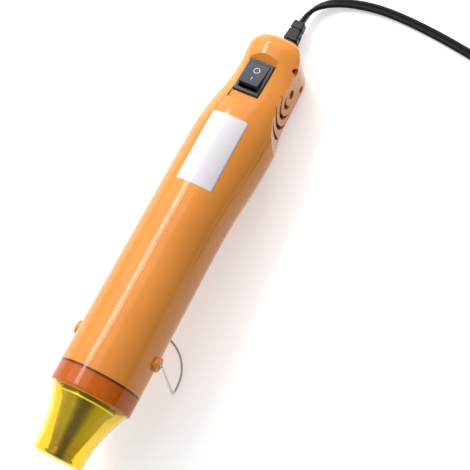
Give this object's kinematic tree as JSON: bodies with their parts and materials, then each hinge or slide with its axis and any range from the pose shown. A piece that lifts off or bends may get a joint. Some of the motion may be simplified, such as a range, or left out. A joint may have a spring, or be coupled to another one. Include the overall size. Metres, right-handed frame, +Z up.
{
  "type": "embossing heat tool",
  "caption": "Hand-held mini hot-air tool for crafts: moulded split housing, rocker switch, clear nozzle guard, wire stand, side air grille and coiled mains cord.",
  "frame": {"origin": "centre of the tool's footprint, on the surface it rests on; the free cord, its coil and the plug are not counted", "axes": "+Z up, +X towards the rear end where the cord leaves, +Y towards the tool's left side; the tool rests nose up on its wire stand, 6.5 degrees from level"},
  "size_m": [0.2967, 0.234, 0.0657],
  "materials": {
    "housing": "gloss",
    "guard": "clear",
    "switch_plastic": "satin",
    "contact_brass": "polished",
    "bell_steel": "satin",
    "screw_steel": "satin",
    "stand_steel": "bright",
    "mica": "matt",
    "heater_wire": "matt",
    "cutout": "matt",
    "motor_steel": "satin",
    "fan_plastic": "matt",
    "mount_plastic": "matt",
    "board": "satin",
    "component_black": "matt",
    "boot_rubber": "matt",
    "cord_rubber": "satin"
  },
  "bodies": {
    "tool": {"housing_left": "housing", "housing_right": "housing", "housing_screws": "screw_steel", "switch_frame": "switch_plastic", "switch_terminals": "contact_brass", "nozzle_guard": "guard", "heater_bell": "bell_steel", "insulating_sleeve": "mica", "mica_former": "mica", "heater_coil": "heater_wire", "thermal_cutout": "cutout", "motor_can": "motor_steel", "motor_mount": "mount_plastic", "rectifier_board": "board", "diodes": "component_black", "capacitor": "component_black", "cord_boot": "boot_rubber", "cord_clamp": "mount_plastic", "clamp_screws": "screw_steel", "inner_cord": "cord_rubber", "inner_wires": "cord_rubber", "cord_lead": "cord_rubber", "cord_coil": "cord_rubber", "cord_tail": "cord_rubber", "plug_body": "boot_rubber", "plug_blades": "contact_brass"},
    "rocker": {"switch_rocker": "switch_plastic"},
    "stand": {"stand_wire": "stand_steel"},
    "rotor": {"motor_shaft": "screw_steel", "fan_impeller": "fan_plastic"}
  },
  "joints": [
    {"name": "rocker_hinge", "type": "hinge", "parent": "tool", "child": "rocker", "pos_m": [0.09093, 0, 0.03654], "axis": [0, 1, 0], "range_deg": [-24, 0]},
    {"name": "stand_hinge", "type": "hinge", "parent": "tool", "child": "stand", "pos_m": [-0.06641, 0, 0.04027], "axis": [0, 1, 0], "range_deg": [-25, 85]},
    {"name": "fan_spin", "type": "hinge", "parent": "tool", "child": "rotor", "pos_m": [0.04805, 0, 0.02723], "axis": [0.9936, 0, -0.1132], "continuous": true}
  ]
}
